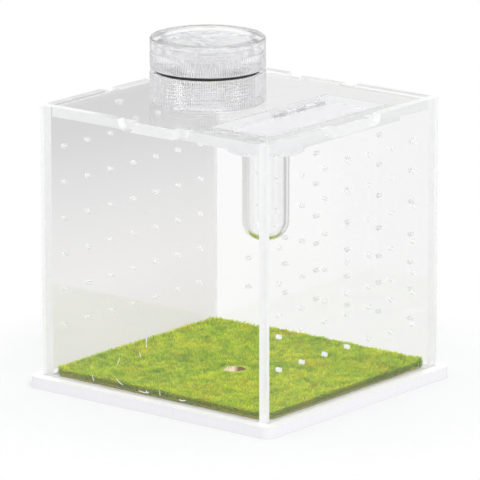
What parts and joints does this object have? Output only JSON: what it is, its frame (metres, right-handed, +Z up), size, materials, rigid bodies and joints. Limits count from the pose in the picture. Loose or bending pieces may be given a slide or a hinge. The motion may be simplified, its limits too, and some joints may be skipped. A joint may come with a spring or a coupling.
{
  "type": "queen cage",
  "caption": "Clear plastic cube box for keeping an insect queen: vented walls, moss floor, white base, lift-out lid with a screw port, a hinged hatch and a hanging tube.",
  "frame": {"origin": "centre of the underside of the base plate", "axes": "+Z up; the plain front wall faces -Y, the vented right wall with the hatch beside it faces +X"},
  "size_m": [0.1072, 0.1028, 0.1228],
  "materials": {
    "base_white": "opaque white acrylic sheet, polished",
    "wall_clear": "clear acrylic sheet, polished",
    "lid_clear": "clear acrylic sheet, polished",
    "frame_clear": "clear acrylic sheet",
    "door_satin": "satin translucent sheet",
    "hinge_clear": "clear moulded plastic",
    "pin_steel": "plain steel wire",
    "port_clear": "clear moulded plastic with a fine straight knurl",
    "seal_black": "black rubber",
    "window_clear": "clear film disc, slightly wrinkled",
    "tube_clear": "clear glass",
    "collar_silicone": "translucent silicone",
    "moss_green": "short artificial moss pile"
  },
  "bodies": {
    "box": {"base_plate": "base_white", "wall_front": "wall_clear", "wall_right": "wall_clear", "wall_back": "wall_clear", "wall_left": "wall_clear", "moss_mat": "moss_green"},
    "lid": {"lid_plate": "lid_clear", "lid_frame": "frame_clear", "hatch_hinge_leaf": "hinge_clear", "hatch_hinge_pin": "pin_steel", "port_ring": "port_clear", "tube_collar": "collar_silicone"},
    "seal": {"port_seal": "seal_black"},
    "cap": {"port_cap": "port_clear", "cap_window": "window_clear"},
    "hatch": {"hatch_door": "door_satin"},
    "tube": {"water_tube": "tube_clear"}
  },
  "joints": [
    {"name": "lid_lift", "type": "slide", "parent": "box", "child": "lid", "axis": [0, 0, 1], "range_m": [0, 0.07]},
    {"name": "cap_rise", "type": "slide", "parent": "lid", "child": "seal", "axis": [0, 0, 1], "range_m": [0, 0.0106]},
    {"name": "cap_turn", "type": "hinge", "parent": "seal", "child": "cap", "pos_m": [-0.011, -0.004, 0.1121], "axis": [0, 0, 1], "range_deg": [0, 1080]},
    {"name": "hatch_open", "type": "hinge", "parent": "lid", "child": "hatch", "pos_m": [0.0179, 0, 0.0981], "axis": [0, -1, 0], "range_deg": [0, 100]},
    {"name": "tube_slide", "type": "slide", "parent": "lid", "child": "tube", "axis": [0, 0, 1], "range_m": [-0.04, 0]}
  ],
  "couplings": [
    {"joint": "cap_rise", "follows": "cap_turn", "m_per_rad": 0.00055704}
  ]
}
